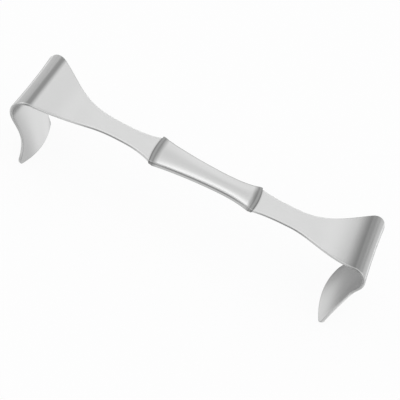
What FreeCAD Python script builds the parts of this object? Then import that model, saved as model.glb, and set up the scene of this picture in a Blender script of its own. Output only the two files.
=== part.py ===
import FreeCAD, Part
import math
import os
from FreeCAD import Vector

# Double-ended hand retractor in one piece of stainless steel, in millimetres and degrees.
# The handle lies along X with its back face up, and both blades hang down from it.
# It is shaped about the middle of the grip, then set down on its two blade ends.
# Lengths along an arm or a blade are measured on the back face, outwards from the ridge.

# Grip in the middle of the handle
GRIP_HALF_LENGTH = 24.0
GRIP_THICKNESS = 2.9
WAIST_HALF_WIDTH = 5.1
WAIST_OFFSET = 9.2
RIM_HEIGHT = 0.35
DISH_DEPTH = 0.75
DISH_RUNOUT = 3.4
SIDE_FACE_HEIGHT = 1.5
SIDE_FACE_END_HEIGHT = 0.9
SIDE_FACE_POWER = 4.0
UNDERSIDE_INSET = 0.7
UNDERSIDE_LIFT = 0.95
UNDERSIDE_LIFT_RUN = 1.8

# Ridges that close the grip at both ends
RIDGE_HEIGHT = 0.6
RIDGE_WIDTH = 1.5
RIDGE_BOW = 0.6
RIDGE_OVERHANG = 0.25
LEFT_RIDGE_HALF_WIDTH = 8.1
RIGHT_RIDGE_HALF_WIDTH = 7.0

# Plate of the arms and blades
ARM_THICKNESS = 1.4
BLADE_THICKNESS = 1.35
RIM_CHAMFER = 0.38
RIM_LIMIT = 0.35
NECK_DISTANCE = 16.9
RIDGE_FLARE_POWER = 3.0
TIP_FLARE = 4.0
CORNER_RADIUS = 2.6

# Swan neck of both arms, as an angle and as shares of the arm's length
RISE_ANGLE = 23.0
DROOP_END = 0.5
RISE_START = 0.49
RISE_END = 0.87

# Fold and saddle of both blades, as shares of the fold's length
FOLD_EASE = 0.63
FULL_WIDTH_IN_FOLD = 0.42
TAPER_START_IN_FOLD = 0.6
WAIST_SHIFT_IN_FOLD = 0.3
SADDLE_START_IN_FOLD = 0.2
SADDLE_REFERENCE = 15.0

# Left end
LEFT_ARM_LENGTH = 53.5
LEFT_FOLD_LENGTH = 18.0
LEFT_BLADE_LENGTH = 46.2
LEFT_ARM_DROOP = -1.9
LEFT_HOOK_ANGLE = 107.5
LEFT_TIP_ANGLE = 108.7
LEFT_NECK_HALF_WIDTH = 4.8
LEFT_FLARE_POWER = 1.29
LEFT_FOLD_HALF_WIDTH = 18.0
LEFT_BLADE_HALF_WIDTH = 11.7
LEFT_BLADE_WAIST = 0.62
LEFT_SADDLE_DEPTH = 2.9

# Right end
RIGHT_ARM_LENGTH = 48.4
RIGHT_FOLD_LENGTH = 15.8
RIGHT_BLADE_LENGTH = 46.7
RIGHT_ARM_DROOP = -0.6
RIGHT_HOOK_ANGLE = 101.7
RIGHT_TIP_ANGLE = 108.6
RIGHT_NECK_HALF_WIDTH = 5.45
RIGHT_FLARE_POWER = 1.07
RIGHT_FOLD_HALF_WIDTH = 17.4
RIGHT_BLADE_HALF_WIDTH = 13.9
RIGHT_BLADE_WAIST = 0.41
RIGHT_SADDLE_DEPTH = 2.55

# How closely the faces follow their formulas
PATH_STEP = 0.1
SECTION_STEP = 3.5
FOLD_SECTION_STEP = 1.8
ROUNDING_STEPS = 6
ROOT_IN_GRIP = 0.25
GRIP_SECTIONS = 11
DISH_SECTIONS = 7

# How far the blocks that shape the grip reach past it
PAST_END = 1.5
PAST_SIDE = 2.0
PAST_TOP = 6.0
PAST_BOTTOM = 0.5

# Points of a section's ring that each face of the plate runs through
FACES_OF_SECTION = ((9, 0, 1), (1, 2), (2, 3), (3, 4), (4, 5, 6), (6, 7), (7, 8), (8, 9))


def clamp(u):
    return max(0.0, min(1.0, u))


def smooth(u):
    """Soft step from 0 to 1."""
    u = clamp(u)
    return u * u * (3.0 - 2.0 * u)


def rounding(distance, radius):
    """How far a quarter round draws a surface in, at this distance from the end it runs into."""
    if distance >= radius:
        return 0.0
    return radius - math.sqrt(radius ** 2 - (radius - max(0.0, distance)) ** 2)


class End:
    """One end of the retractor; way is -1 for the left end and 1 for the right one."""

    def __init__(self, way, lengths, angles, half_widths, flare_power, blade_waist, saddle_depth):
        self.way = way
        self.arm, self.fold, self.blade = lengths
        self.droop, self.hook, self.tip = angles
        self.ridge, self.neck, self.full, self.narrow = half_widths
        self.flare_power = flare_power
        self.fold_end = self.arm + self.fold
        self.total = self.arm + self.blade
        self.waist_at = self.arm + blade_waist * self.blade + WAIST_SHIFT_IN_FOLD * self.fold
        self.saddle_depth = saddle_depth
        self.rim = min(RIM_CHAMFER, RIM_LIMIT * min(ARM_THICKNESS, BLADE_THICKNESS))
        self.level = math.pi / 2.0
        self.path = self.trace()

    def slope(self, s):
        """Downward slope of the back face in radians, s millimetres out from the ridge."""
        droop = self.droop * (1.0 - smooth(s / (DROOP_END * self.arm)))
        rise = RISE_ANGLE * smooth((s / self.arm - RISE_START) / (RISE_END - RISE_START))
        turned = smooth(clamp((s - self.arm) / self.fold) ** FOLD_EASE)
        to_tip = smooth((s - self.fold_end) / (self.total - self.fold_end))
        fold = (RISE_ANGLE + self.hook) * turned
        return math.radians(droop - rise + fold + (self.tip - self.hook) * to_tip)

    def trace(self):
        """Middle line of the back face as x and z, one point for every step along it."""
        x = self.way * GRIP_HALF_LENGTH
        z = 0.0
        points = [(x, z)]
        for i in range(int(self.total / PATH_STEP) + 2):
            a = self.slope((i + 0.5) * PATH_STEP)
            x += self.way * PATH_STEP * math.cos(a)
            z -= PATH_STEP * math.sin(a)
            points.append((x, z))
        return points

    def point(self, s):
        """Point of the middle line, s millimetres out from the ridge."""
        if s < 0.0:
            return self.way * (GRIP_HALF_LENGTH + s), 0.0
        i = int(s / PATH_STEP)
        share = s / PATH_STEP - i
        (xa, za), (xb, zb) = self.path[i], self.path[i + 1]
        return xa + share * (xb - xa), za + share * (zb - za)

    def half_width(self, s):
        """Half width of the plate: flared at the ridge, fold and blade end, waisted between."""
        if s < 0.0:
            return self.ridge
        full_at = self.arm + FULL_WIDTH_IN_FOLD * self.fold
        taper_at = self.arm + TAPER_START_IN_FOLD * self.fold
        at_ridge = (self.ridge - self.neck) * clamp(1.0 - s / NECK_DISTANCE) ** RIDGE_FLARE_POWER
        along = clamp((s - NECK_DISTANCE) / (full_at - NECK_DISTANCE))
        flare = (self.full - self.neck) * smooth(along ** self.flare_power)
        taper = (self.full - self.narrow) * smooth((s - taper_at) / (self.waist_at - taper_at))
        tip = TIP_FLARE * clamp((s - self.waist_at) / (self.total - self.waist_at)) ** 2
        return self.neck + at_ridge + flare - taper + tip - rounding(self.total - s, CORNER_RADIUS)

    def saddle(self, s):
        """How fast the plate bends outwards away from its middle line, per millimetre squared."""
        start = self.arm + SADDLE_START_IN_FOLD * self.fold
        u = clamp((s - start) / (self.total - start))
        return 0.5 * (u + smooth(u)) * self.saddle_depth / SADDLE_REFERENCE ** 2

    def thickness(self, s):
        return ARM_THICKNESS + (BLADE_THICKNESS - ARM_THICKNESS) * smooth(s / self.arm)

    def section_angle(self, s):
        """Direction in which the plate is cut through: square to it, but level at the blade end."""
        slope = self.slope(s)
        return slope + (self.level - slope) * smooth((s - self.fold_end) / (self.total - self.fold_end))

    def section(self, s):
        """Ring of control points round the plate, bowed where the blade is saddle shaped.

        Both faces are parabolas of three points. The narrow side and the chamfers beside it
        are straight.
        """
        x, z = self.point(s)
        angle = self.section_angle(s)
        nx = self.way * math.sin(angle)
        nz = math.cos(angle)
        thinning = rounding(self.total - s, self.rim)
        top = -thinning
        low = top - (self.thickness(s) - 2.0 * thinning) / math.cos(angle - self.slope(s))
        rim = min(self.rim, RIM_LIMIT * (top - low))
        bend = self.saddle(s)
        wide = self.half_width(s)
        flat = wide - rim
        sag = bend * flat * flat
        side = bend * wide * wide
        right = [(flat, top + sag), (wide, top + side - rim), (wide, low + side + rim), (flat, low + sag)]
        left = [(-y, out) for y, out in reversed(right)]
        ring = [(0.0, top - sag)] + right + [(0.0, low - sag)] + left
        return [Vector(x + nx * out, y, z + nz * out) for y, out in ring]

    def stations(self):
        """Lengths that get a cross section: closer in the fold and in the rounded blade end."""
        runs = [(-ROOT_IN_GRIP, 0.0, ROOT_IN_GRIP), (0.0, self.arm, SECTION_STEP),
                (self.arm, self.fold_end, FOLD_SECTION_STEP),
                (self.fold_end, self.total - CORNER_RADIUS, SECTION_STEP)]
        found = []
        for start, stop, step in runs:
            count = max(1, int(round((stop - start) / step)))
            found += [start + (stop - start) * i / count for i in range(count)]
        turns = [0.5 * math.pi * i / ROUNDING_STEPS for i in range(ROUNDING_STEPS + 1)]
        return found + [self.total - CORNER_RADIUS * (1.0 - math.cos(a)) for a in reversed(turns)]

    def plate(self):
        """Solid whose faces run smoothly through all the cross sections."""
        rings = [self.section(s) for s in self.stations()]
        marks = [0.0]
        for last, this in zip(rings, rings[1:]):
            marks.append(marks[-1] + (this[2] - last[2]).Length)
        rails = [rail([ring[i] for ring in rings], marks) for i in range(10)]
        faces = [strip([rails[i] for i in run]) for run in FACES_OF_SECTION]
        shell = Part.makeShell(faces + [cap(rings[0]), cap(rings[-1])])
        shell.sewShape()
        return Part.makeSolid(shell)


def rail(points, marks):
    curve = Part.BSplineCurve()
    curve.interpolate(Points=points, Parameters=marks)
    return curve


def strip(rails):
    """Face between two rails, straight across or drawn towards a third one between them."""
    across = len(rails) - 1
    surface = Part.BSplineSurface()
    surface.buildFromPolesMultsKnots([curve.getPoles() for curve in rails], [across + 1, across + 1],
                                     rails[0].getMultiplicities(), [0.0, 1.0],
                                     rails[0].getKnots(), False, False, across, rails[0].Degree)
    if across > 1:
        surface.insertUKnot(0.5, 1, 0.0)
    return surface.toShape()


def cap(ring):
    """Flat face closing the plate across one of its sections."""
    edges = []
    for run in FACES_OF_SECTION:
        curve = Part.BezierCurve()
        curve.setPoles([ring[i] for i in run])
        edges.append(curve.toShape())
    return Part.Face(Part.Wire(edges))


def left_end():
    lengths = (LEFT_ARM_LENGTH, LEFT_FOLD_LENGTH, LEFT_BLADE_LENGTH)
    angles = (LEFT_ARM_DROOP, LEFT_HOOK_ANGLE, LEFT_TIP_ANGLE)
    half_widths = (LEFT_RIDGE_HALF_WIDTH, LEFT_NECK_HALF_WIDTH, LEFT_FOLD_HALF_WIDTH,
                   LEFT_BLADE_HALF_WIDTH)
    return End(-1, lengths, angles, half_widths, LEFT_FLARE_POWER, LEFT_BLADE_WAIST,
               LEFT_SADDLE_DEPTH)


def right_end():
    lengths = (RIGHT_ARM_LENGTH, RIGHT_FOLD_LENGTH, RIGHT_BLADE_LENGTH)
    angles = (RIGHT_ARM_DROOP, RIGHT_HOOK_ANGLE, RIGHT_TIP_ANGLE)
    half_widths = (RIGHT_RIDGE_HALF_WIDTH, RIGHT_NECK_HALF_WIDTH, RIGHT_FOLD_HALF_WIDTH,
                   RIGHT_BLADE_HALF_WIDTH)
    return End(1, lengths, angles, half_widths, RIGHT_FLARE_POWER, RIGHT_BLADE_WAIST,
               RIGHT_SADDLE_DEPTH)


def level_ends(left, right):
    """Cuts both blade ends level and returns how far the handle leans on them, in degrees."""
    lx, lz = left.point(left.total)
    rx, rz = right.point(right.total)
    lean = math.atan2(rz - lz, rx - lx)
    for end in (left, right):
        end.level = math.pi / 2.0 - end.way * lean
    return math.degrees(lean)


def set_down(whole, lean):
    """The shape standing on its blade ends, with the middle of its length over the origin."""
    seated = whole.copy()
    seated.rotate(Vector(), Vector(0, 1, 0), lean)
    box = seated.optimalBoundingBox(False, False)
    seated.translate(Vector(-box.Center.x, 0.0, -box.ZMin))
    return seated


def polygon(points):
    return Part.Wire([Part.makeLine(a, b) for a, b in zip(points, points[1:] + points[:1])])


def grip_half_width(x):
    """Half width of the grip, narrowest at its waist and widest at the two ridges."""
    if x < WAIST_OFFSET:
        share = (WAIST_OFFSET - x) / (WAIST_OFFSET + GRIP_HALF_LENGTH)
        ridge = LEFT_RIDGE_HALF_WIDTH + RIDGE_OVERHANG
    else:
        share = (x - WAIST_OFFSET) / (GRIP_HALF_LENGTH - WAIST_OFFSET)
        ridge = RIGHT_RIDGE_HALF_WIDTH + RIDGE_OVERHANG
    return WAIST_HALF_WIDTH + (ridge - WAIST_HALF_WIDTH) * share ** 2


def grip_section(x):
    """Cross section of the grip before its top is dished and its underside is cut flat."""
    share = clamp(abs(x) / GRIP_HALF_LENGTH) ** SIDE_FACE_POWER
    height = SIDE_FACE_HEIGHT + (SIDE_FACE_END_HEIGHT - SIDE_FACE_HEIGHT) * share
    slant = UNDERSIDE_INSET / (GRIP_THICKNESS - height)
    bottom = RIM_HEIGHT - GRIP_THICKNESS - PAST_BOTTOM
    w = grip_half_width(x)
    low = w - slant * (RIM_HEIGHT - height - bottom)
    half = [(w, RIDGE_HEIGHT), (w, RIM_HEIGHT - height), (low, bottom)]
    ring = half + [(-y, z) for y, z in reversed(half)]
    return polygon([Vector(x, y, z) for y, z in ring])


def grip_block():
    reach = GRIP_HALF_LENGTH + PAST_END
    shares = [2.0 * i / (GRIP_SECTIONS - 1) - 1.0 for i in range(GRIP_SECTIONS)]
    return Part.makeLoft([grip_section(reach * share) for share in shares], True, False)


def ridge_line(way, reach, z):
    """Outer line of one ridge, bowed outwards and drawn on to y = -reach and y = reach."""
    half_width = LEFT_RIDGE_HALF_WIDTH if way < 0 else RIGHT_RIDGE_HALF_WIDTH
    middle = GRIP_HALF_LENGTH + RIDGE_BOW
    edge = middle - RIDGE_BOW * (reach / half_width) ** 2
    return Part.Arc(Vector(way * edge, -way * reach, z), Vector(way * middle, 0.0, z),
                    Vector(way * edge, way * reach, z)).toShape()


def between_ridges():
    """Upright prism whose two ends are bowed outwards like the ridges."""
    reach = max(LEFT_RIDGE_HALF_WIDTH, RIGHT_RIDGE_HALF_WIDTH) + PAST_SIDE
    bows = [ridge_line(way, reach, -PAST_TOP) for way in (1, -1)]
    far, near = [Part.makeLine(a.Vertexes[-1].Point, b.Vertexes[0].Point) for a, b in (bows, bows[::-1])]
    return Part.Face(Part.Wire([bows[0], far, bows[1], near])).extrude(Vector(0, 0, 2.0 * PAST_TOP))


def lifted_underside():
    """Prism across the grip whose flat underside rises towards both ridges."""
    bottom = RIM_HEIGHT - GRIP_THICKNESS
    reach = max(LEFT_RIDGE_HALF_WIDTH, RIGHT_RIDGE_HALF_WIDTH) + PAST_SIDE
    flat = GRIP_HALF_LENGTH + RIDGE_BOW - UNDERSIDE_LIFT_RUN
    past = UNDERSIDE_LIFT_RUN + PAST_END
    lift = UNDERSIDE_LIFT * past / UNDERSIDE_LIFT_RUN
    half = [(flat, bottom), (flat + past, bottom + lift), (flat + past, PAST_TOP)]
    ring = half + [(-x, z) for x, z in reversed(half)]
    return Part.Face(polygon([Vector(x, -reach, z) for x, z in ring])).extrude(Vector(0, 2.0 * reach, 0))


def dish_section(x):
    """Outline of the hollow at one place along the grip, open upwards."""
    inside = GRIP_HALF_LENGTH + RIDGE_BOW - RIDGE_WIDTH - abs(x)
    depth = 1.0 - (1.0 - min(1.0, inside / DISH_RUNOUT)) ** 2
    w = grip_half_width(x)
    wide = w + PAST_SIDE
    rim = RIDGE_HEIGHT + (RIM_HEIGHT - RIDGE_HEIGHT) * depth
    floor = RIDGE_HEIGHT + (RIM_HEIGHT - DISH_DEPTH - RIDGE_HEIGHT) * depth
    edge = floor + (rim - floor) * (wide / w) ** 2
    curve = Part.BezierCurve()
    curve.setPoles([Vector(x, -wide, edge), Vector(x, 0.0, 2.0 * floor - edge), Vector(x, wide, edge)])
    top = [Vector(x, y, z) for y, z in ((wide, edge), (wide, PAST_TOP), (-wide, PAST_TOP), (-wide, edge))]
    return Part.Wire([curve.toShape()] + [Part.makeLine(a, b) for a, b in zip(top, top[1:])])


def dish():
    """The hollow in the back of the grip, run out upwards at both ends below the ridges."""
    end = GRIP_HALF_LENGTH + RIDGE_BOW - RIDGE_WIDTH
    shares = [(i / (DISH_SECTIONS - 1.0)) ** 1.5 for i in range(DISH_SECTIONS)]
    runout = [end - DISH_RUNOUT * share for share in shares]
    flat = runout[-1]
    half = [end + 0.1 * DISH_RUNOUT] + runout + [flat * 2.0 / 3.0, flat / 3.0]
    places = [-x for x in half] + [0.0] + list(reversed(half))
    return Part.makeLoft([dish_section(x) for x in places], True, False)


def grip():
    return grip_block().common(between_ridges()).common(lifted_underside()).cut(dish())


def retractor():
    ends = (left_end(), right_end())
    lean = level_ends(*ends)
    whole = grip().fuse([end.plate() for end in ends])
    return set_down(whole.removeSplitter().Solids[0], lean)


if __name__ == "__main__":
    os.makedirs("parts", exist_ok=True)
    retractor().exportStep("parts/retractor.step")
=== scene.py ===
"""Looks of a double-ended hand retractor in satin stainless steel, standing on its blade ends.

All lengths are in metres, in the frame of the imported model: X along the handle, Z up from the floor.
The instrument is one forging, so it is one skin. The skin runs from the left blade's end over the
left arm, the dished grip and the right arm to the right blade's end, as rings of points that are
square to the steel. Every ring is laid out in three coordinates: the distance along the back face
from a ridge of the grip, the distance across, and the height off the back face.
"""
import logging
import math
from dataclasses import dataclass, field, fields
from enum import Enum
from typing import Any, Union

import bpy
import numpy as np
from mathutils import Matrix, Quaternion, Vector


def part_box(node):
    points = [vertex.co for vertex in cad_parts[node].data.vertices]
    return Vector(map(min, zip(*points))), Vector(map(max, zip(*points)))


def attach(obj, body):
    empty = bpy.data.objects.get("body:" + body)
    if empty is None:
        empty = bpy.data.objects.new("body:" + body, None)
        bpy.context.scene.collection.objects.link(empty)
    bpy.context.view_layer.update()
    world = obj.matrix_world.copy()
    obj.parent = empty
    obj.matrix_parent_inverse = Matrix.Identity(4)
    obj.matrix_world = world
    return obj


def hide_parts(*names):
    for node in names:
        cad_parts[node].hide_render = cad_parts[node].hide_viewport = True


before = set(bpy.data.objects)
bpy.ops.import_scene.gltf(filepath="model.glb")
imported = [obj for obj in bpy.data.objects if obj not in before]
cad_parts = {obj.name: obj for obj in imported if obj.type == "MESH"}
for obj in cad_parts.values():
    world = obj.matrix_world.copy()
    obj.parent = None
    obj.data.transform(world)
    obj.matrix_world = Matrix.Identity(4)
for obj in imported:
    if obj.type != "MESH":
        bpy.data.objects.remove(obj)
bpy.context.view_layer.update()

log = logging.getLogger("retractor")

MM = 0.001
NODE = "retractor"
RIGHT_ANGLE = 0.5 * math.pi
WHITE = (1.0, 1.0, 1.0, 1.0)
Array = np.ndarray
Numbers = Union[float, Array]
Color = tuple[float, float, float, float]
Triple = tuple[float, float, float]
Fades = tuple[float, float, float, float]


def smooth(u: Numbers) -> Numbers:
    """Soft step from 0 to 1.

    Args:
        u: Where the step stands, 0 at its start and 1 at its end.

    Returns:
        The step's height, 0 before the start and 1 after the end.
    """
    u = np.clip(u, 0.0, 1.0)
    return u * u * (3.0 - 2.0 * u)


def rounding(distance: Array, radius: float) -> Array:
    """How far a quarter round draws a surface in near the end that it runs into.

    Args:
        distance: Distance from the end.
        radius: Radius of the quarter round.

    Returns:
        The amount drawn in, 0 beyond the radius and the whole radius at the end.
    """
    rest = np.clip(radius - distance, 0.0, radius)
    return radius - np.sqrt(radius ** 2 - rest ** 2)


def soft_positive(value: Array, softness: float) -> Array:
    """The value where it is positive and 0 elsewhere, with the bend between them rounded."""
    return 0.5 * (value + np.sqrt(value ** 2 + softness ** 2))


class Side(Enum):
    """The two ends of the instrument, as directions along the handle."""

    LEFT = -1
    RIGHT = 1


@dataclass(frozen=True)
class Grip:
    """Dished finger grip between the two ridges, symmetric across the handle."""

    half_length: float = 24.0 * MM
    thickness: float = 2.9 * MM
    waist_half_width: float = 5.1 * MM
    waist_offset: float = 9.2 * MM
    left_half_width: float = 8.35 * MM
    right_half_width: float = 7.25 * MM
    rim_height: float = 0.35 * MM
    dish_depth: float = 0.75 * MM
    dish_runout: float = 3.4 * MM
    side_face: float = 1.0 * MM
    side_face_at_ridge: float = 0.9 * MM
    side_face_power: float = 4.0
    underside_inset: float = 0.5 * MM
    underside_reach: float = 0.3 * MM
    underside_run: float = 2.4 * MM
    edge_radius: float = 0.3 * MM
    ridge_height: float = 0.6 * MM
    ridge_width: float = 1.5 * MM
    ridge_bow: float = 0.6 * MM
    bow_fade: float = 8.0 * MM
    wall_run: float = 0.3 * MM
    crest_softness: float = 0.35 * MM
    blend_reach: float = 0.25 * MM
    blend_run: float = 1.6 * MM
    curl_pivot: float = 0.4 * MM

    def half_width(self, x: Array) -> Array:
        """Half width, narrowest at the waist.

        Args:
            x: Place along the handle from the grip's middle.

        Returns:
            The half width there.
        """
        to_left = (self.waist_offset - x) / (self.waist_offset + self.half_length)
        to_right = (x - self.waist_offset) / (self.half_length - self.waist_offset)
        share = np.where(x < self.waist_offset, to_left, to_right)
        ridge = np.where(x < self.waist_offset, self.left_half_width, self.right_half_width)
        return self.waist_half_width + (ridge - self.waist_half_width) * share ** 2

    def wall(self, q: Array) -> Array:
        """Share of the ridge's height, from 0 outside its outer line to 1 inside it."""
        return smooth((0.5 * self.wall_run - q) / self.wall_run)

    def back_height(self, q: Array, across: Array) -> Array:
        """Height of the ridges and the dish over the arms' back face.

        Args:
            q: Distance outwards from the ridge's outer line, negative inside the grip.
            across: Share of the half width, 0 in the middle and 1 at the edge.

        Returns:
            The height, 0 on the arms.
        """
        inside = soft_positive(-q - self.ridge_width, self.crest_softness)
        depth = 1.0 - (1.0 - np.minimum(1.0, inside / self.dish_runout)) ** 2
        rim = self.ridge_height + (self.rim_height - self.ridge_height) * depth
        floor = rim - self.dish_depth * depth
        return self.wall(q) * (floor + (rim - floor) * across ** 2)


@dataclass(frozen=True)
class Plate:
    """What both arms and blades share: their section and the form of bends and flares."""

    arm_thickness: float = 1.4 * MM
    blade_thickness: float = 1.35 * MM
    rim_radius: float = 0.42 * MM
    rim_share_of_thickness: float = 0.42
    end_radius: float = 0.42 * MM
    corner_radius: float = 2.6 * MM
    neck_distance: float = 16.9 * MM
    ridge_flare_power: float = 3.0
    tip_flare: float = 4.0 * MM
    droop_end: float = 0.5
    full_width_in_fold: float = 0.42
    taper_start_in_fold: float = 0.6
    waist_shift_in_fold: float = 0.3
    saddle_start_in_fold: float = 0.2
    saddle_reference: float = 15.0 * MM
    path_step: float = 0.05 * MM
    path_spare_steps: int = 3


@dataclass(frozen=True)
class Spacing:
    """Distances from ring to ring, and how far the close ones reach from the ridge and the fold."""

    dish_reach: float = 6.0 * MM
    ridge_reach: float = 2.2 * MM
    wall_reach: float = 0.6 * MM
    neck_reach: float = 3.0 * MM
    fold_reach: float = 2.0 * MM
    long_step: float = 0.9 * MM
    blade_step: float = 0.7 * MM
    bend_step: float = 0.3 * MM
    dish_end_step: float = 0.25 * MM
    ridge_step: float = 0.07 * MM
    corner_rings: int = 18


@dataclass
class HookedEnd:
    """One end of the instrument: half of the grip, the arm, the fold and the saddle blade.

    The arm's, the fold's and the blade's lengths run along the back face, and the blade's includes
    the fold. The rise starts and ends at shares of the arm, the blade's waist is at a share of the
    blade, and an ease below 1 lets the fold turn early. Fold shade holds the four distances from the
    ridge at which the painted shade over the crest of the fold starts, is full, begins to fade and
    ends.
    """

    side: Side
    arm: float
    fold: float
    blade: float
    droop_degrees: float
    hook_degrees: float
    tip_degrees: float
    ridge_half_width: float
    neck_half_width: float
    fold_half_width: float
    blade_half_width: float
    flare_power: float
    blade_waist: float
    saddle_depth: float
    rise_degrees: float
    rise_start: float
    rise_end: float
    fold_ease: float
    fold_shade: Fades
    grip: Grip = field(default_factory=Grip)
    plate: Plate = field(default_factory=Plate)
    spacing: Spacing = field(default_factory=Spacing)
    level: float = RIGHT_ANGLE
    way: int = field(init=False)
    fold_end: float = field(init=False)
    total: float = field(init=False)
    waist_at: float = field(init=False)
    path_s: Array = field(init=False)
    path: Array = field(init=False)

    def __post_init__(self) -> None:
        """Works out where the fold and the blade end, and the line of the back face."""
        step = self.plate.path_step
        self.way = self.side.value
        self.fold_end = self.arm + self.fold
        self.total = self.arm + self.blade
        self.waist_at = (self.arm + self.blade_waist * self.blade
                         + self.plate.waist_shift_in_fold * self.fold)
        count = int(self.total / step) + self.plate.path_spare_steps
        self.path_s = np.arange(count) * step
        middles = self.slope(self.path_s[:-1] + 0.5 * step)
        steps = step * np.stack([self.way * np.cos(middles), -np.sin(middles)])
        start = np.array([[self.way * self.grip.half_length], [0.0]])
        self.path = np.concatenate([start, start + np.cumsum(steps, axis=1)], axis=1)

    def slope(self, s: Array) -> Array:
        """Downward slope of the back face in radians.

        Args:
            s: Distance outwards from the ridge, along the back face.

        Returns:
            The slope there, 0 in the grip.
        """
        fading = 1.0 - smooth(s / (self.plate.droop_end * self.arm))
        droop = self.droop_degrees * fading * (s >= 0.0)
        rising = smooth((s / self.arm - self.rise_start) / (self.rise_end - self.rise_start))
        rise = self.rise_degrees * rising
        turned = smooth(np.clip((s - self.arm) / self.fold, 0.0, 1.0) ** self.fold_ease)
        to_tip = smooth((s - self.fold_end) / (self.total - self.fold_end))
        fold = (self.rise_degrees + self.hook_degrees) * turned
        tip = (self.tip_degrees - self.hook_degrees) * to_tip
        return np.radians(droop - rise + fold + tip)

    def point(self, s: Array) -> tuple[Array, Array]:
        """Points of the back face's middle line.

        Args:
            s: Distances outwards from the ridge.

        Returns:
            Their places along the handle and their heights, in the handle's own frame.
        """
        x, z = [np.interp(s, self.path_s, line) for line in self.path]
        in_grip = self.way * (self.grip.half_length + s)
        return np.where(s < 0.0, in_grip, x), np.where(s < 0.0, 0.0, z)

    def plate_half_width(self, s: Array) -> Array:
        """Half width of arm and blade: flared at the ridge, the fold and the blade's end.

        Args:
            s: Distances outwards from the ridge.

        Returns:
            The half widths, with the blade's corners rounded.
        """
        plate = self.plate
        full_at = self.arm + plate.full_width_in_fold * self.fold
        taper_at = self.arm + plate.taper_start_in_fold * self.fold
        near = np.clip(1.0 - s / plate.neck_distance, 0.0, 1.0) ** plate.ridge_flare_power
        at_ridge = (self.ridge_half_width - self.neck_half_width) * near
        along = np.clip((s - plate.neck_distance) / (full_at - plate.neck_distance), 0.0, 1.0)
        flare = (self.fold_half_width - self.neck_half_width) * smooth(along ** self.flare_power)
        narrowing = smooth((s - taper_at) / (self.waist_at - taper_at))
        taper = (self.fold_half_width - self.blade_half_width) * narrowing
        past_waist = np.clip((s - self.waist_at) / (self.total - self.waist_at), 0.0, 1.0)
        tip = plate.tip_flare * past_waist ** 2
        corner = rounding(self.total - s, plate.corner_radius)
        return self.neck_half_width + at_ridge + flare - taper + tip - corner

    def saddle(self, s: Array) -> Array:
        """How strongly the plate is bent across, so that its rims lie further out than its middle line.

        Args:
            s: Distances outwards from the ridge.

        Returns:
            The rims' offset over the square of the distance across, in one over metres.
        """
        start = self.arm + self.plate.saddle_start_in_fold * self.fold
        u = np.clip((s - start) / (self.total - start), 0.0, 1.0)
        return 0.5 * (u + smooth(u)) * self.saddle_depth / self.plate.saddle_reference ** 2

    def section_angle(self, s: Array) -> Array:
        """Direction of the rings: square to the plate, and turning level at the blade's end."""
        slope = self.slope(s)
        return slope + (self.level - slope) * smooth((s - self.fold_end) / (self.total - self.fold_end))

    def stations(self) -> Array:
        """Distances from the ridge that get a ring, closest at the ridge and round the bends.

        Returns:
            The distances, from the middle of the grip to the blade's end.
        """
        line, space = self.grip.ridge_bow, self.spacing
        stops = [-self.grip.half_length, line - space.dish_reach, line - space.ridge_reach,
                 line + space.wall_reach, line + space.neck_reach, self.arm - space.fold_reach,
                 self.fold_end + space.fold_reach, self.total - self.plate.corner_radius]
        steps = [space.long_step, space.dish_end_step, space.ridge_step, space.bend_step,
                 space.long_step, space.bend_step, space.blade_step]
        found = []
        for start, stop, step in zip(stops[:-1], stops[1:], steps):
            count = max(1, round((stop - start) / step))
            found.append(np.arange(count) * (stop - start) / count + start)
        turns = np.linspace(RIGHT_ANGLE, 0.0, space.corner_rings)
        corner = self.total - self.plate.corner_radius * (1.0 - np.cos(turns))
        return np.concatenate(found + [corner])


@dataclass(frozen=True)
class RingLayout:
    """How many steps one half of a ring has over each stretch of the section's outline."""

    face: int = 18
    corner: int = 6
    side: int = 2
    bend: int = 3


@dataclass(frozen=True)
class ShadePainting:
    """Where a ridge gets painted shade, darker than the steel round it, and how dark each part of it
    is, from 0 to 1.

    Distances run inwards from the ridge's line. Only the crest's starts outwards of the line. The
    rim's slope and delay say where on its rounding the painted shade of the narrow side starts.
    """

    crest_start: float = 0.9 * MM
    crest_start_run: float = 1.1 * MM
    crest_end: float = 1.3 * MM
    crest_end_run: float = 2.6 * MM
    crest: float = 0.85
    lines_at: tuple[float, float] = (0.05 * MM, 1.55 * MM)
    line_width: float = 0.22 * MM
    lines: float = 0.5
    dish_start: float = 1.5 * MM
    dish_run: float = 2.0 * MM
    dish: float = 0.2
    rim_slope: float = 2.0
    rim_delay: float = 0.8


@dataclass
class Rings:
    """Rings of one end in handle coordinates, with what the finish and the painted shade need at every
    point.
    """

    points: Array
    grain: Array
    edge: Array
    flank: Array
    painted_shade: Array

    def joined(self, other: "Rings") -> "Rings":
        """These rings from the outside in, and then another end's from the inside out.

        Args:
            other: The other end's rings. Both ends have the ring in the middle of the grip.

        Returns:
            The rings of the whole instrument.
        """
        names = [part.name for part in fields(self)]
        return Rings(*[np.concatenate([getattr(self, name)[::-1], getattr(other, name)[1:]])
                       for name in names])


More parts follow.
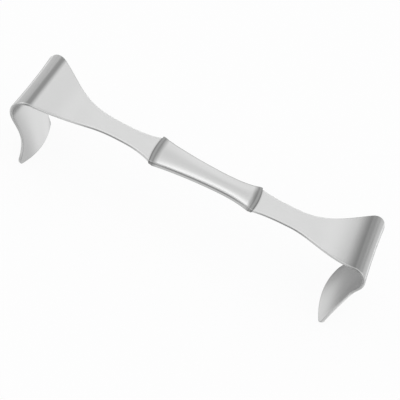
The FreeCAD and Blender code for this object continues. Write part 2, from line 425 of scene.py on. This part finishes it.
@dataclass
class Skin:
    """Lays the rings of one end round its steel."""

    end: HookedEnd
    layout: RingLayout = field(default_factory=RingLayout)
    shade_painting: ShadePainting = field(default_factory=ShadePainting)

    def corners(self, s: Array) -> dict[str, Array]:
        """Sizes of the section's outline at each ring.

        Args:
            s: Distances of the rings from the ridge.

        Returns:
            A column of values for each size, by the size's name.
        """
        end, grip, plate = self.end, self.end.grip, self.end.plate
        q = s - grip.ridge_bow
        x = end.way * (grip.half_length + s)
        in_grip = smooth((grip.blend_reach - q) / grip.blend_run)
        plate_width = end.plate_half_width(s)
        grip_width = grip.half_width(np.clip(x, -grip.half_length, grip.half_length))
        wide = plate_width + (grip_width - plate_width) * grip.wall(q)
        thinning = rounding(end.total - s, plate.end_radius)
        to_blade = smooth(s / end.arm)
        thickness = plate.arm_thickness + (plate.blade_thickness - plate.arm_thickness) * to_blade
        tilt = np.cos(end.section_angle(s) - end.slope(s))
        low_plate = -thinning - (thickness - 2.0 * thinning) / tilt
        low_grip = grip.rim_height - grip.thickness
        lift = smooth((grip.underside_reach - q) / grip.underside_run)
        low = low_plate + (low_grip - low_plate) * lift
        share = np.clip(np.abs(x) / grip.half_length, 0.0, 1.0) ** grip.side_face_power
        face = grip.side_face + (grip.side_face_at_ridge - grip.side_face) * share
        bend = (1.0 - in_grip) * 0.5 * (low_plate - thinning) + in_grip * (grip.rim_height - face)
        radius = np.minimum(plate.rim_radius, plate.rim_share_of_thickness * (-thinning - low_plate))
        radius = radius + (grip.edge_radius - radius) * in_grip
        sizes = dict(q=q, wide=wide, top=-thinning, low=low, bend=bend, radius=radius,
                     inset=grip.underside_inset * in_grip, in_grip=in_grip, saddle=end.saddle(s))
        return {name: np.asarray(value)[:, None] for name, value in sizes.items()}

    def half_outline(self, size: dict[str, Array]) -> tuple[Array, Array, Array, Array]:
        """Outline of the section's right half, from the middle of the back to that of the underside.

        Args:
            size: The sizes that corners() gives.

        Returns:
            Distances across, heights off the back face, and how far each point is on a rounded
            edge and on the narrow side of the steel.
        """
        layout, grip = self.layout, self.end.grip
        wide, radius = size["wide"], size["radius"]

        def back(y: Array) -> Array:
            """Height of the back face at this distance across."""
            return size["top"] + grip.back_height(size["q"], y / wide)

        flat = wide - radius
        across = flat * np.linspace(0.0, 1.0, layout.face, endpoint=False)[None, :]
        rim = (wide, back(wide))
        under = (wide - size["inset"], size["low"] + 0.0 * wide)
        knee = (wide, size["bend"] + 0.0 * wide)
        slant = np.hypot(under[0] - knee[0], under[1] - knee[1])
        toward = ((under[0] - knee[0]) / slant, (under[1] - knee[1]) / slant)
        soft = 0.5 * radius
        side_start, side_stop = (wide, rim[1] - radius), (wide, knee[1] + soft)
        slant_start = (wide + toward[0] * soft, knee[1] + toward[1] * soft)
        slant_stop = (under[0] - toward[0] * radius, under[1] - toward[1] * radius)
        under_start = (under[0] - radius, under[1])
        stretches = [((flat, back(flat)), rim, side_start, layout.corner),
                     (side_start, None, side_stop, layout.side),
                     (side_stop, knee, slant_start, layout.bend),
                     (slant_start, None, slant_stop, layout.side),
                     (slant_stop, under, under_start, layout.corner)]
        lines = ([across], [back(across)])
        for start, control, stop, count in stretches:
            t = np.linspace(0.0, 1.0, count, endpoint=False)[None, :]
            for axis, line in enumerate(lines):
                middle = 0.5 * (start[axis] + stop[axis]) if control is None else control[axis]
                line.append((1 - t) ** 2 * start[axis] + 2 * t * (1 - t) * middle + t ** 2 * stop[axis])
        t = np.linspace(1.0, 0.0, layout.face + 1)[None, :]
        lines[0].append(under_start[0] * t)
        lines[1].append(under[1] + 0.0 * t)
        y, out = [np.concatenate(line, axis=1) for line in lines]
        return y, out, *self.masks(size["in_grip"])

    def masks(self, in_grip: Array) -> tuple[Array, Array]:
        """How far each point of a half outline is on a rounded edge and on the narrow side.

        In the grip the whole rounding of the rim counts as narrow side, and nothing below the knee.

        Args:
            in_grip: Share of the grip's form in each ring.

        Returns:
            The edge mask and the flank mask, both from 0 to 1; the flank mask carries the painted shade
            of the narrow sides.
        """
        layout, dark = self.layout, self.shade_painting
        turn = np.linspace(0.0, 1.0, layout.corner, endpoint=False)
        between = 2 * layout.side + layout.bend
        edge = np.concatenate([np.zeros(layout.face), np.sin(math.pi * turn), np.zeros(between),
                               np.sin(math.pi * turn), np.zeros(layout.face + 1)])
        turned_down = smooth(dark.rim_slope * turn - dark.rim_delay)
        flank = np.concatenate([np.zeros(layout.face), turned_down, np.ones(between),
                                1.0 - smooth(turn), np.zeros(layout.face + 1)])
        place = np.arange(len(flank))
        rim = (place >= layout.face) & (place < layout.face + layout.corner)
        below = place >= layout.face + layout.corner + layout.side + layout.bend
        return edge + 0.0 * in_grip, np.maximum(flank * (1.0 - in_grip * below), in_grip * rim)

    def painted_shade(self, s: Array) -> Array:
        """Where painted shade darkens the steel: over the ridges, into the dish's run-out and across
        the fold's crest.

        Args:
            s: Distances of the rings from the ridge.

        Returns:
            One value a ring, from 0 to 1.
        """
        dark = self.shade_painting
        inward = self.end.grip.ridge_bow - s
        started = smooth((inward + dark.crest_start) / dark.crest_start_run)
        ended = smooth((inward - dark.crest_end) / dark.crest_end_run)
        crest = started * (1.0 - ended)
        lines = sum(np.exp(-((inward - at) / dark.line_width) ** 2) for at in dark.lines_at)
        dish = smooth((inward - dark.dish_start) / dark.dish_run)
        # Painted shade over the crest of the fold.
        start, full, still, stop = self.end.fold_shade
        bend = smooth((s - start) / (full - start)) * (1.0 - smooth((s - still) / (stop - still)))
        return np.clip(dark.crest * crest + dark.lines * lines + dark.dish * dish + bend, 0.0, 1.0)

    def rings(self) -> Rings:
        """All rings of this end, from the middle of the grip outwards.

        Returns:
            Points in handle coordinates and the finish's values at each of them.
        """
        end, grip = self.end, self.end.grip
        s = end.stations()
        size = self.corners(s)
        y, out, edge, flank = self.half_outline(size)
        y = np.concatenate([y, -y[:, -2:0:-1]], axis=1)
        out, edge, flank = [np.concatenate([half, half[:, -2:0:-1]], axis=1)
                            for half in (out, edge, flank)]
        near = 1.0 - smooth((np.abs(size["q"]) - 0.5 * grip.ridge_width) / grip.bow_fade)
        along = s[:, None] - grip.ridge_bow * near * (y / size["wide"]) ** 2
        # Both ends share the ring in the middle of the grip, so the bow leaves it as it is.
        along[0] = s[0]
        angle = end.section_angle(along)
        x, z = end.point(along)
        curl = 2.0 * size["saddle"] * y
        lifted = size["saddle"] * y ** 2 + out / np.sqrt(1.0 + curl ** 2)
        over = y - (out + grip.curl_pivot) * curl / np.sqrt(1.0 + curl ** 2)
        points = np.stack([x + end.way * np.sin(angle) * lifted, over,
                           z + np.cos(angle) * lifted], axis=2)
        grain = np.stack([end.way * (grip.half_length + along), y, out], axis=2)
        # The rounded edges of the underside get painted shade too.
        low_edge_shade = edge * (out < 0.5 * (size["top"] + size["low"]))
        return Rings(points, grain, edge, flank, np.maximum(self.painted_shade(s)[:, None], low_edge_shade))


def left_end() -> HookedEnd:
    """The longer end, with the narrower blade."""
    return HookedEnd(Side.LEFT, arm=53.5 * MM, fold=18.0 * MM, blade=46.2 * MM, droop_degrees=-1.9,
                     hook_degrees=107.5, tip_degrees=108.7, ridge_half_width=8.1 * MM,
                     neck_half_width=4.8 * MM, fold_half_width=18.0 * MM,
                     blade_half_width=11.7 * MM, flare_power=1.29, blade_waist=0.62,
                     saddle_depth=2.9 * MM, rise_degrees=23.0, rise_start=0.49, rise_end=0.87,
                     fold_ease=0.63,
                     fold_shade=(52.7 * MM, 54.9 * MM, 55.6 * MM, 57.4 * MM))


def right_end() -> HookedEnd:
    """The shorter end, with the wider blade."""
    return HookedEnd(Side.RIGHT, arm=48.5 * MM, fold=16.5 * MM, blade=46.6 * MM, droop_degrees=-0.6,
                     hook_degrees=101.2, tip_degrees=109.5, ridge_half_width=7.0 * MM,
                     neck_half_width=5.45 * MM, fold_half_width=17.4 * MM,
                     blade_half_width=13.9 * MM, flare_power=1.07, blade_waist=0.41,
                     saddle_depth=2.55 * MM, rise_degrees=28.0, rise_start=0.438, rise_end=1.02,
                     fold_ease=0.55,
                     fold_shade=(42.6 * MM, 49.6 * MM, 50.2 * MM, 53.2 * MM))


class Value:
    """A number that changes over a surface or by direction: a node's output that sums can use."""

    def __init__(self, graph: "Graph", socket: Any) -> None:
        """Keeps the socket and the graph that it belongs to."""
        self.graph = graph
        self.socket = socket

    def _math(self, operation: str, *terms: Any, clamp: bool = False) -> "Value":
        """Adds one Math node.

        Args:
            operation: The node's operation.
            terms: Its inputs, as values or numbers.
            clamp: Whether the result is kept between 0 and 1.

        Returns:
            The node's output.
        """
        settings = {"operation": operation, "use_clamp": clamp}
        return self.graph.add("ShaderNodeMath", settings, dict(enumerate(terms)))

    def __add__(self, other: Any) -> "Value":
        """Sum."""
        return self._math("ADD", self, other)

    def __sub__(self, other: Any) -> "Value":
        """Difference."""
        return self._math("SUBTRACT", self, other)

    def __rsub__(self, other: Any) -> "Value":
        """Difference from a number."""
        return self._math("SUBTRACT", other, self)

    def __mul__(self, other: Any) -> "Value":
        """Product."""
        return self._math("MULTIPLY", self, other)

    def __truediv__(self, other: Any) -> "Value":
        """Quotient."""
        return self._math("DIVIDE", self, other)

    def __pow__(self, other: Any) -> "Value":
        """Power."""
        return self._math("POWER", self, other)

    __radd__ = __add__
    __rmul__ = __mul__

    def clamped(self) -> "Value":
        """The value kept between 0 and 1."""
        return self._math("ADD", self, 0.0, clamp=True)

    def at_least(self, other: Any) -> "Value":
        """The larger of this value and another."""
        return self._math("MAXIMUM", self, other)

    def stepped(self, start: float, stop: float) -> "Value":
        """Soft step from 0 at start to 1 at stop."""
        share = ((self - start) / (stop - start)).clamped()
        return share * share * (3.0 - 2.0 * share)


class Graph:
    """The nodes of one material or of the world."""

    def __init__(self, tree: Any) -> None:
        """Empties the tree."""
        self.tree = tree
        tree.nodes.clear()

    def add(self, kind: str, settings: Union[dict, None] = None,
            sockets: Union[dict, None] = None, output: Union[str, int] = 0) -> Value:
        """Adds a node.

        Args:
            kind: The node's type.
            settings: Its settings, which are set first.
            sockets: Values or links of its inputs, by name or number.
            output: The output that is wanted.

        Returns:
            That output.
        """
        node = self.tree.nodes.new(kind)
        for name, setting in (settings or {}).items():
            setattr(node, name, setting)
        for key, term in (sockets or {}).items():
            if isinstance(term, Value):
                self.tree.links.new(term.socket, node.inputs[key])
            else:
                node.inputs[key].default_value = term
        return Value(self, node.outputs[output] if node.outputs else None)

    def mixed(self, share: Value, first: Any, second: Any) -> Value:
        """Mixes two colours.

        Args:
            share: Share of the second colour.
            first: The colour where the share is 0.
            second: The colour where the share is 1.

        Returns:
            The mixed colour.
        """
        sockets = {0: share, 6: first, 7: second}
        return self.add("ShaderNodeMix", {"data_type": "RGBA"}, sockets, output=2)


@dataclass(frozen=True)
class SatinSteel:
    """Stainless steel, finely brushed along the instrument, with polished edges, rougher ground flanks
    and painted shade on the flanks.

    The ridges, the crests of the folds and the low edges get painted shade, as the skin's shade
    painting says.
    """

    name: str = "satin_steel"
    light_tone: Color = (0.748, 0.750, 0.748, 1.0)
    dark_tone: Color = (0.668, 0.670, 0.668, 1.0)
    flank_shade_tone: Color = (0.520, 0.522, 0.520, 1.0)
    painted_shade_tone: Color = (0.285, 0.287, 0.285, 1.0)
    line_scale: Triple = (60.0, 2600.0, 2600.0)
    line_detail: float = 4.0
    patch_scale: Triple = (90.0, 160.0, 160.0)
    patch_detail: float = 3.0
    tone_at_least: float = 0.35
    tone_from_lines: float = 0.3
    tone_from_patches: float = 0.35
    edge_kept_light: float = 0.5
    roughness: float = 0.25
    patch_roughness: float = 0.06
    line_roughness: float = 0.06
    flank_roughness: float = 0.08
    edge_polish: float = 0.06
    brushing_height: float = 0.004 * MM
    brushing_strength: float = 0.35

    def material(self) -> Any:
        """Builds the material.

        Returns:
            The material, fed by the skin's grain, edge, flank and painted shade attributes; the flank
            and painted shade masks paint shade into its colour.
        """
        made = bpy.data.materials.new(self.name)
        made.use_nodes = True
        graph = Graph(made.node_tree)
        grain = graph.add("ShaderNodeAttribute", {"attribute_name": "grain"}, output="Vector")
        edge, flank, painted_shade = [graph.add("ShaderNodeAttribute", {"attribute_name": name}, output="Fac")
                               for name in ("edge", "flank", "painted_shade")]
        lines = self.noise(graph, grain, self.line_scale, self.line_detail)
        patches = self.noise(graph, grain, self.patch_scale, self.patch_detail)
        tone = self.tone_at_least + self.tone_from_lines * lines + self.tone_from_patches * patches
        face = graph.mixed(tone.clamped(), self.dark_tone, self.light_tone)
        # Painted shade on the narrow sides, which are also rougher.
        side = graph.mixed(flank, face, self.flank_shade_tone)
        # Painted shade: ridges, fold crests and low edges are darkened towards the painted shade tone,
        # the rounded edges less so.
        darkened = painted_shade * (1.0 - self.edge_kept_light * edge)
        color = graph.mixed(darkened, side, self.painted_shade_tone)
        rough = self.roughness + self.patch_roughness * (patches - 0.5)
        rough = rough + self.line_roughness * (lines - 0.5)
        rough = (rough - self.edge_polish * edge + self.flank_roughness * flank).clamped()
        bump = graph.add("ShaderNodeBump", {}, {"Strength": self.brushing_strength,
                                                "Distance": self.brushing_height, "Height": lines})
        steel = graph.add("ShaderNodeBsdfPrincipled", {},
                          {"Base Color": color, "Metallic": 1.0, "Roughness": rough, "Normal": bump})
        graph.add("ShaderNodeOutputMaterial", {}, {"Surface": steel})
        return made

    @staticmethod
    def noise(graph: Graph, grain: Value, scale: Triple, detail: float) -> Value:
        """Noise stretched along the grain.

        Args:
            graph: The material's nodes.
            grain: Place on the skin: along, across and off the back face.
            scale: Features to a metre in each of these directions.
            detail: Octaves of the noise.

        Returns:
            The noise, from 0 to 1.
        """
        placed = graph.add("ShaderNodeVectorMath", {"operation": "MULTIPLY"}, {0: grain, 1: scale})
        return graph.add("ShaderNodeTexNoise", {}, {"Vector": placed, "Scale": 1.0, "Detail": detail})


@dataclass(frozen=True)
class PaleFloor:
    """White table that shows almost white to the camera and keeps the object's shadow.

    The steel mirrors the room's light in its place.
    """

    name: str = "pale_floor"
    tone: Color = (0.86, 0.86, 0.87, 1.0)
    camera_white: float = 0.92

    def material(self) -> Any:
        """Builds the material.

        Returns:
            The material, mostly plain white to the camera, and clear to mirrored rays.
        """
        made = bpy.data.materials.new(self.name)
        made.use_nodes = True
        graph = Graph(made.node_tree)
        seen = graph.add("ShaderNodeLightPath", output="Is Camera Ray")
        paint = graph.add("ShaderNodeBsdfDiffuse", {}, {"Color": self.tone})
        white = graph.add("ShaderNodeEmission", {}, {"Color": WHITE, "Strength": 1.0})
        pale = graph.add("ShaderNodeMixShader", {}, {0: seen * self.camera_white, 1: paint, 2: white})
        mirrored = graph.add("ShaderNodeLightPath", output="Is Glossy Ray")
        clear = graph.add("ShaderNodeBsdfTransparent")
        shown = graph.add("ShaderNodeMixShader", {}, {0: mirrored, 1: pale, 2: clear})
        graph.add("ShaderNodeOutputMaterial", {}, {"Surface": shown})
        return made


@dataclass
class Retractor:
    """The whole instrument: both ends, joined in the middle of the grip and set on the floor."""

    left: HookedEnd = field(default_factory=left_end)
    right: HookedEnd = field(default_factory=right_end)
    steel: SatinSteel = field(default_factory=SatinSteel)

    def lean(self) -> float:
        """Finds the lean that brings both blade ends to one level, and has both of them cut level.

        Returns:
            The angle in radians that the handle turns about Y by.
        """
        (lx, lz), (rx, rz) = [end.point(np.array(end.total)) for end in (self.left, self.right)]
        turn = math.atan2(rz - lz, rx - lx)
        for end in (self.left, self.right):
            end.level = RIGHT_ANGLE - end.way * turn
        return turn

    def seat(self, points: Array, turn: float) -> Array:
        """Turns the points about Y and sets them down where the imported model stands.

        Args:
            points: Rings of points in handle coordinates.
            turn: Angle that the handle leans by.

        Returns:
            The points in the model's frame.
        """
        c, s = math.cos(turn), math.sin(turn)
        x = c * points[..., 0] + s * points[..., 2]
        z = c * points[..., 2] - s * points[..., 0]
        low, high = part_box(NODE)
        x += 0.5 * (low[0] + high[0]) - 0.5 * (x.min() + x.max())
        z += low[2] - z.min()
        return np.stack([x, points[..., 1], z], axis=-1)

    def build(self) -> Any:
        """Builds and dresses the skin.

        Returns:
            The finished object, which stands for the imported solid.
        """
        turn = self.lean()
        rings = Skin(self.left).rings().joined(Skin(self.right).rings())
        skin = self.skin_object(self.seat(rings.points, turn))
        for name, kind, key in (("grain", "FLOAT_VECTOR", "vector"), ("edge", "FLOAT", "value"),
                                ("flank", "FLOAT", "value"), ("painted_shade", "FLOAT", "value")):
            layer = skin.data.attributes.new(name, kind, "POINT")
            layer.data.foreach_set(key, getattr(rings, name).astype(np.float32).ravel())
        skin.data.materials.append(self.steel.material())
        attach(skin, "root")
        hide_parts(NODE)
        return skin

    def skin_object(self, points: Array) -> Any:
        """Makes the closed mesh over the rings.

        Args:
            points: Rings of points, from the left blade's end to the right one's.

        Returns:
            The object, smooth shaded.
        """
        count, around = points.shape[:2]
        ring = np.arange(count - 1)[:, None] * around
        here = np.arange(around)[None, :]
        then = (here + 1) % around
        quads = np.stack([ring + here, ring + around + here, ring + around + then, ring + then],
                         axis=2)
        faces = [tuple(quad) for quad in quads.reshape(-1, 4).tolist()]
        half = around // 2
        last = (count - 1) * around
        # The blade's cut end is hollow, so a cap's quads join the back face to the underside on the
        # same side of the blade, and none spans from one side to the other.
        for j in range(half // 2):
            for quad in ((j, j + 1, half - 1 - j, half - j),
                         (half + j, half + 1 + j, around - 1 - j, (around - j) % around)):
                faces.append(quad)
                faces.append(tuple(last + k for k in reversed(quad)))
        mesh = bpy.data.meshes.new("retractor_skin")
        mesh.from_pydata(points.reshape(-1, 3).tolist(), [], faces)
        mesh.validate()
        mesh.polygons.foreach_set("use_smooth", [True] * len(mesh.polygons))
        skin = bpy.data.objects.new("retractor_skin", mesh)
        bpy.context.scene.collection.objects.link(skin)
        return skin


@dataclass(frozen=True)
class SoftBox:
    """One square studio lamp that faces a place on the object."""

    name: str
    place: Triple
    size: float
    watts: float
    aim: Triple = (0.0, 0.0, 20.0 * MM)

    def build(self) -> None:
        """Adds the lamp and turns it towards its aim."""
        data = bpy.data.lights.new(self.name, "AREA")
        data.shape = "SQUARE"
        data.size = self.size
        data.energy = self.watts
        lamp = bpy.data.objects.new(self.name, data)
        lamp.location = self.place
        look = (Vector(self.aim) - Vector(self.place)).to_track_quat("-Z", "Y")
        lamp.rotation_euler = look.to_euler()
        bpy.context.scene.collection.objects.link(lamp)


@dataclass(frozen=True)
class Viewpoint:
    """The photographer's place: where the lens is, what it looks at and how the picture is rolled."""

    place: Triple = (15.04 * MM, -308.67 * MM, 354.91 * MM)
    aim: Triple = (4.61 * MM, 15.18 * MM, 0.0)
    roll_degrees: float = 25.82
    focal_pixels: float = 1052.6
    frame_pixels: float = 400.0
    sensor_mm: float = 36.0
    clip_start: float = 10.0 * MM
    clip_end: float = 20.0

    def build(self) -> Any:
        """Adds the camera and makes it the scene's.

        Returns:
            The camera.
        """
        data = bpy.data.cameras.new("camera")
        data.sensor_width = self.sensor_mm
        data.lens = self.sensor_mm * self.focal_pixels / self.frame_pixels
        data.clip_start = self.clip_start
        data.clip_end = self.clip_end
        camera = bpy.data.objects.new("camera", data)
        camera.location = self.place
        look = (Vector(self.aim) - Vector(self.place)).to_track_quat("-Z", "Y")
        camera.rotation_mode = "QUATERNION"
        roll = Quaternion((0.0, 0.0, 1.0), math.radians(self.roll_degrees))
        camera.rotation_quaternion = look @ roll
        bpy.context.scene.collection.objects.link(camera)
        bpy.context.scene.camera = camera
        return camera


@dataclass(frozen=True)
class Band:
    """One level of the room's light, and the rise over which it takes over from the one below."""

    light: float
    start: float
    stop: float


@dataclass(frozen=True)
class Patch:
    """One soft-edged patch of the room, by the way it lies from the object.

    Turn is the sine of the angle off the wall behind, towards the right, and rise is the sine of
    the angle over the horizon. Each has the two places where the patch fades in and the two where
    it fades out.
    """

    turn: Fades
    rise: Fades
    light: float
    behind: bool = True
    half_fade: float = 0.05

    @staticmethod
    def between(where: Value, fades: Fades) -> Value:
        """Share of the patch at a place, from the four places between which it fades in and out."""
        return where.stepped(*fades[:2]) * (1.0 - where.stepped(*fades[2:]))

    def laid_over(self, room: Value, turn: Value, rise: Value, ahead: Value) -> Value:
        """Lays the patch over the room's light.

        Args:
            room: Light of the room so far.
            turn: Sine of the angle off the wall behind.
            rise: Sine of the angle over the horizon.
            ahead: Cosine of the angle off the wall behind.

        Returns:
            The room's light with the patch in it.
        """
        wide, tall = self.between(turn, self.turn), self.between(rise, self.rise)
        half = ahead if self.behind else 0.0 - ahead
        share = wide * tall * half.stepped(-self.half_fade, self.half_fade)
        return room + (self.light - room) * share


@dataclass
class Studio:
    """Plain white table in a light room, with lighter and dimmer patches that the steel mirrors.

    Under is the light from straight below. The bands over it are the shade round the object's
    foot, the table, the walls and the ceiling. The patches behind the object come first, and those
    in front of it last.
    """

    floor: PaleFloor = field(default_factory=PaleFloor)
    floor_half: float = 1.5
    under: float = 0.78
    bands: tuple[Band, ...] = (Band(0.32, -0.88, -0.78), Band(1.20, -0.57, -0.44),
                               Band(0.67, -0.44, -0.22), Band(0.97, 0.30, 0.64))
    patches: tuple[Patch, ...] = (
        Patch((0.00, 0.10, 0.50, 0.62), (-0.66, -0.60, -0.50, -0.40), 1.00),
        Patch((0.74, 0.90, 1.10, 1.20), (-0.60, -0.52, -0.36, -0.26), 0.66),
        Patch((-0.60, -0.45, 0.45, 0.60), (-0.36, -0.28, 0.14, 0.25), 0.14),
        Patch((-0.24, -0.12, 0.12, 0.24), (-1.10, -1.05, -0.30, -0.20), 0.20),
        Patch((-0.34, -0.18, 0.14, 0.30), (0.28, 0.34, 0.43, 0.56), 1.90),
        Patch((-0.30, -0.20, 0.20, 0.30), (0.70, 0.74, 0.77, 0.82), 0.86),
        Patch((-0.50, -0.30, 0.20, 0.40), (0.82, 0.88, 0.93, 0.97), 1.16),
        Patch((-0.80, -0.70, -0.62, -0.53), (0.22, 0.34, 0.72, 0.80), 0.56),
        Patch((0.53, 0.62, 0.70, 0.80), (0.22, 0.34, 0.72, 0.80), 0.56),
        Patch((0.30, 0.50, 1.10, 1.20), (-0.92, -0.84, -0.62, -0.50), 1.50, behind=False),
        Patch((-1.20, -1.10, -0.50, -0.30), (-0.92, -0.84, -0.62, -0.50), 1.30, behind=False),
        Patch((-0.70, -0.50, 0.50, 0.70), (-0.45, -0.32, 0.00, 0.16), 1.25, behind=False))
    lamps: tuple[SoftBox, ...] = (SoftBox("overhead", (-0.25, -0.15, 0.9), 0.8, 0.5),)
    least_flat: float = 0.001

    def build(self) -> None:
        """Builds the floor, the world and the lamps."""
        half = self.floor_half
        mesh = bpy.data.meshes.new("floor")
        corners = [(-half, -half, 0.0), (half, -half, 0.0), (half, half, 0.0), (-half, half, 0.0)]
        mesh.from_pydata(corners, [], [(0, 1, 2, 3)])
        table = bpy.data.objects.new("floor", mesh)
        mesh.materials.append(self.floor.material())
        bpy.context.scene.collection.objects.link(table)
        self.build_world()
        for lamp in self.lamps:
            lamp.build()

    def build_world(self) -> None:
        """Builds the room's light by direction: the bands from below to above, then the patches."""
        world = bpy.data.worlds.new("studio")
        world.use_nodes = True
        bpy.context.scene.world = world
        graph = Graph(world.node_tree)
        toward = graph.add("ShaderNodeTexCoord", output="Generated")
        x, y, rise = [graph.add("ShaderNodeSeparateXYZ", {}, {0: toward}, output=axis)
                      for axis in "XYZ"]
        # Straight up and down the direction has no turn, so what it is divided by stays above 0.
        flat = ((x * x + y * y) ** 0.5).at_least(self.least_flat)
        turn, ahead = x / flat, y / flat
        room = self.under
        for band in self.bands:
            room = room + (band.light - room) * rise.stepped(band.start, band.stop)
        for patch in self.patches:
            room = patch.laid_over(room, turn, rise, ahead)
        seen = graph.add("ShaderNodeLightPath", output="Is Camera Ray")
        strength = seen + (1.0 - seen) * room
        glow = graph.add("ShaderNodeBackground", {}, {"Color": WHITE, "Strength": strength})
        graph.add("ShaderNodeOutputWorld", {}, {"Surface": glow})


def main() -> None:
    """Builds the instrument, the studio and the camera."""
    logging.basicConfig(level=logging.INFO, format="%(name)s: %(message)s")
    bpy.context.scene.view_settings.view_transform = "Standard"
    skin = Retractor().build()
    log.info("%s has %d faces", skin.name, len(skin.data.polygons))
    Studio().build()
    log.info("floor, room and lamps are up")
    camera = Viewpoint().build()
    log.info("%s has a %.1f mm lens", camera.name, camera.data.lens)


if __name__ == "__main__":
    main()
